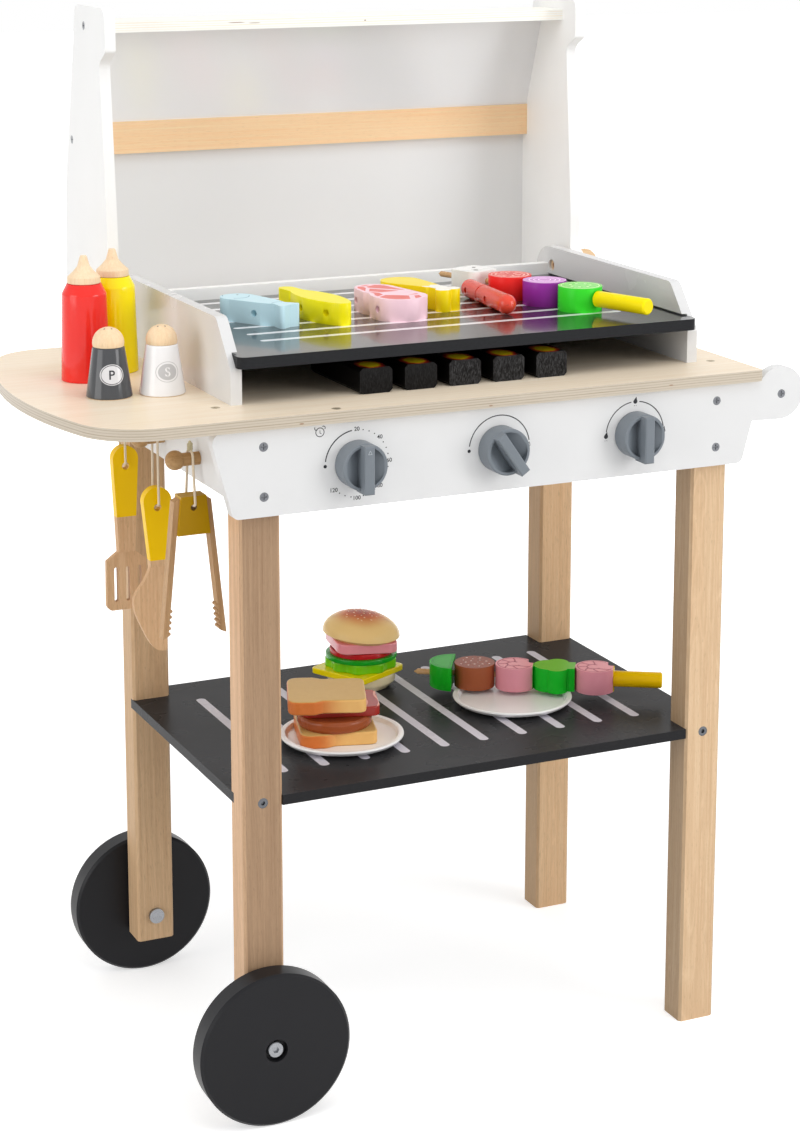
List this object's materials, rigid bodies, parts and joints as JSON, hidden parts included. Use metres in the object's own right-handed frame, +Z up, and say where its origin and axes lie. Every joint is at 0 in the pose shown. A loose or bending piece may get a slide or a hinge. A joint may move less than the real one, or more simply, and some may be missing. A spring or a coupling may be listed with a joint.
{
  "type": "toy barbecue grill",
  "caption": "Toy barbecue grill on legs and wheels, with a hinged lid, a plate for wooden food, coals, turning knobs, hanging utensils and a shelf.",
  "frame": {"origin": "on the floor, midway between the four legs", "axes": "+X along the front panel towards the push handle, +Y from the front to the back, +Z up"},
  "size_m": [0.608, 0.4154, 0.83],
  "materials": {
    "white_paint": "satin painted wood",
    "plywood": "clear satin lacquer, pale plywood",
    "beech": "clear satin lacquer",
    "beech_turned": "clear satin lacquer, turned beech",
    "grey_paint": "satin painted wood",
    "dark_paint": "satin dark grey painted board",
    "wheel_paint": "satin dark grey painted wood",
    "steel": "zinc plated",
    "dark_steel": "dark screw heads",
    "silver_sheet": "satin silver sheet",
    "knob_plastic": "satin grey plastic",
    "utensil_wood": "beech with a painted yellow handle",
    "yellow_paint": "satin yellow paint",
    "cord": "natural cotton cord",
    "red_bottle": "gloss red paint with a plain wooden cap",
    "yellow_bottle": "gloss yellow paint with a plain wooden cap",
    "pepper": "gloss dark grey paint with a plain wooden dome",
    "salt": "gloss white paint with a plain wooden dome",
    "coal": "satin black paint with a printed flame",
    "fish": "light blue paint",
    "corn": "yellow paint",
    "steak": "pink paint",
    "drumstick": "yellow paint",
    "sausage": "red-brown paint",
    "food": "painted wooden food",
    "bread": "painted wooden bread and fillings",
    "dish": "gloss white paint"
  },
  "bodies": {
    "stand": {"front_panel": "white_paint", "rear_panel": "white_paint", "push_handle": "beech", "end_board_left": "white_paint", "end_board_right": "white_paint", "tabletop": "plywood", "leg_front_left": "beech", "leg_front_right": "beech", "leg_rear_left": "beech", "leg_rear_right": "beech", "shelf": "dark_paint", "riser_side_left": "grey_paint", "riser_side_right": "grey_paint", "riser_back": "white_paint", "grill_plate": "dark_paint", "utensil_pegs": "beech_turned", "wood_screws": "dark_steel", "shelf_bolts": "steel", "wheel_bolts": "steel", "lid_pivot_pins": "beech_turned", "knob_spindles": "steel"},
    "lid": {"lid_side_left": "white_paint", "lid_side_right": "white_paint", "lid_top_slat": "plywood", "lid_mid_rail": "beech", "lid_upper_sheet": "silver_sheet", "lid_lower_sheet": "silver_sheet", "lid_screws": "steel"},
    "wheel_front": {"wheel_front": "wheel_paint"},
    "wheel_rear": {"wheel_rear": "wheel_paint"},
    "knob_timer": {"knob_timer": "knob_plastic"},
    "knob_heat": {"knob_heat": "knob_plastic"},
    "knob_burner": {"knob_burner": "knob_plastic"},
    "spatula": {"spatula": "utensil_wood", "spatula_cord": "cord"},
    "knife": {"knife": "utensil_wood", "knife_cord": "cord"},
    "tongs": {"tongs_block": "yellow_paint", "tongs_arms": "utensil_wood", "tongs_cord": "cord"},
    "red_bottle": {"red_bottle": "red_bottle"},
    "yellow_bottle": {"yellow_bottle": "yellow_bottle"},
    "pepper_shaker": {"pepper_shaker": "pepper"},
    "salt_shaker": {"salt_shaker": "salt"},
    "charcoal_1": {"charcoal_1": "coal"},
    "charcoal_2": {"charcoal_2": "coal"},
    "charcoal_3": {"charcoal_3": "coal"},
    "charcoal_4": {"charcoal_4": "coal"},
    "charcoal_5": {"charcoal_5": "coal"},
    "fish": {"fish": "fish"},
    "corn": {"corn": "corn"},
    "steak": {"steak": "steak"},
    "drumstick": {"drumstick": "drumstick"},
    "sausage": {"sausage": "sausage"},
    "grill_skewer": {"grill_skewer": "food"},
    "burger": {"burger": "bread"},
    "sandwich_plate": {"sandwich_plate": "dish"},
    "skewer_plate": {"skewer_plate": "dish"},
    "sandwich": {"sandwich": "bread"},
    "shelf_skewer": {"shelf_skewer": "food"}
  },
  "joints": [
    {"name": "lid_hinge", "type": "hinge", "parent": "stand", "child": "lid", "pos_m": [0, 0.128, 0.596], "axis": [-1, 0, 0], "range_deg": [-90, 0]},
    {"name": "wheel_front_spin", "type": "hinge", "parent": "stand", "child": "wheel_front", "pos_m": [-0.192, -0.153, 0.061], "axis": [0, 1, 0], "continuous": true},
    {"name": "wheel_rear_spin", "type": "hinge", "parent": "stand", "child": "wheel_rear", "pos_m": [-0.192, 0.153, 0.061], "axis": [0, 1, 0], "continuous": true},
    {"name": "knob_timer_turn", "type": "hinge", "parent": "stand", "child": "knob_timer", "pos_m": [-0.118, -0.155, 0.508], "axis": [0, -1, 0], "continuous": true},
    {"name": "knob_heat_turn", "type": "hinge", "parent": "stand", "child": "knob_heat", "pos_m": [0, -0.155, 0.508], "axis": [0, -1, 0], "continuous": true},
    {"name": "knob_burner_turn", "type": "hinge", "parent": "stand", "child": "knob_burner", "pos_m": [0.118, -0.155, 0.508], "axis": [0, -1, 0], "continuous": true},
    {"name": "spatula_swing", "type": "hinge", "parent": "stand", "child": "spatula", "pos_m": [-0.224, 0.08, 0.507], "axis": [1, 0, 0], "range_deg": [-24, 10]},
    {"name": "knife_swing", "type": "hinge", "parent": "stand", "child": "knife", "pos_m": [-0.224, 0, 0.507], "axis": [1, 0, 0], "range_deg": [-20, 20]},
    {"name": "tongs_swing", "type": "hinge", "parent": "stand", "child": "tongs", "pos_m": [-0.224, -0.08, 0.507], "axis": [1, 0, 0], "range_deg": [-10, 22]},
    {"name": "red_bottle_lift", "type": "slide", "parent": "stand", "child": "red_bottle", "axis": [0, 0, 1], "range_m": [0, 0.12]},
    {"name": "yellow_bottle_lift", "type": "slide", "parent": "stand", "child": "yellow_bottle", "axis": [0, 0, 1], "range_m": [0, 0.12]},
    {"name": "pepper_shaker_lift", "type": "slide", "parent": "stand", "child": "pepper_shaker", "axis": [0, 0, 1], "range_m": [0, 0.12]},
    {"name": "salt_shaker_lift", "type": "slide", "parent": "stand", "child": "salt_shaker", "axis": [0, 0, 1], "range_m": [0, 0.12]},
    {"name": "charcoal_1_pull", "type": "slide", "parent": "stand", "child": "charcoal_1", "axis": [0, -1, 0], "range_m": [0, 0.1]},
    {"name": "charcoal_2_pull", "type": "slide", "parent": "stand", "child": "charcoal_2", "axis": [0, -1, 0], "range_m": [0, 0.1]},
    {"name": "charcoal_3_pull", "type": "slide", "parent": "stand", "child": "charcoal_3", "axis": [0, -1, 0], "range_m": [0, 0.1]},
    {"name": "charcoal_4_pull", "type": "slide", "parent": "stand", "child": "charcoal_4", "axis": [0, -1, 0], "range_m": [0, 0.1]},
    {"name": "charcoal_5_pull", "type": "slide", "parent": "stand", "child": "charcoal_5", "axis": [0, -1, 0], "range_m": [0, 0.1]},
    {"name": "fish_lift", "type": "slide", "parent": "stand", "child": "fish", "axis": [0, 0, 1], "range_m": [0, 0.1]},
    {"name": "corn_lift", "type": "slide", "parent": "stand", "child": "corn", "axis": [0, 0, 1], "range_m": [0, 0.1]},
    {"name": "steak_lift", "type": "slide", "parent": "stand", "child": "steak", "axis": [0, 0, 1], "range_m": [0, 0.1]},
    {"name": "drumstick_lift", "type": "slide", "parent": "stand", "child": "drumstick", "axis": [0, 0, 1], "range_m": [0, 0.1]},
    {"name": "sausage_lift", "type": "slide", "parent": "stand", "child": "sausage", "axis": [0, 0, 1], "range_m": [0, 0.1]},
    {"name": "grill_skewer_lift", "type": "slide", "parent": "stand", "child": "grill_skewer", "axis": [0, 0, 1], "range_m": [0, 0.1]},
    {"name": "burger_lift", "type": "slide", "parent": "stand", "child": "burger", "axis": [0, 0, 1], "range_m": [0, 0.1]},
    {"name": "sandwich_plate_lift", "type": "slide", "parent": "stand", "child": "sandwich_plate", "axis": [0, 0, 1], "range_m": [0, 0.08]},
    {"name": "skewer_plate_lift", "type": "slide", "parent": "stand", "child": "skewer_plate", "axis": [0, 0, 1], "range_m": [0, 0.08]},
    {"name": "sandwich_lift", "type": "slide", "parent": "sandwich_plate", "child": "sandwich", "axis": [0, 0, 1], "range_m": [0, 0.06]},
    {"name": "shelf_skewer_lift", "type": "slide", "parent": "skewer_plate", "child": "shelf_skewer", "axis": [0, 0, 1], "range_m": [0, 0.06]}
  ]
}
